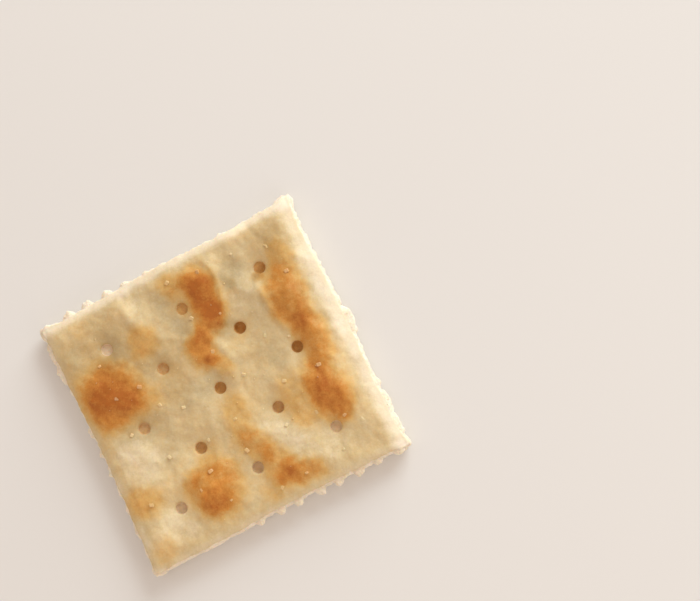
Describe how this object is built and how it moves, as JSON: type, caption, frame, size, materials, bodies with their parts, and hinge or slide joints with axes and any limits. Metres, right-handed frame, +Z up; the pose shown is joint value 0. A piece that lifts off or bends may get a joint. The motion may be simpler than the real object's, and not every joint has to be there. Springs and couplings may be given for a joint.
{
  "type": "saltine cracker",
  "caption": "Thin square baked soda cracker: staggered docker holes, browned blisters, coarse salt grains and torn, toothed edges.",
  "frame": {"origin": "middle of the footprint, on the surface that the cracker lies on", "axes": "+Z up through the cracker, out of its browned top; +X and +Y along its sides, +X along the slightly longer one"},
  "size_m": [0.0523, 0.0509, 0.0054],
  "materials": {
    "crust": "matte baked crust, pale cream with toasted brown blisters and coarse salt"
  },
  "bodies": {
    "root": {"cracker": "crust"}
  },
  "joints": []
}
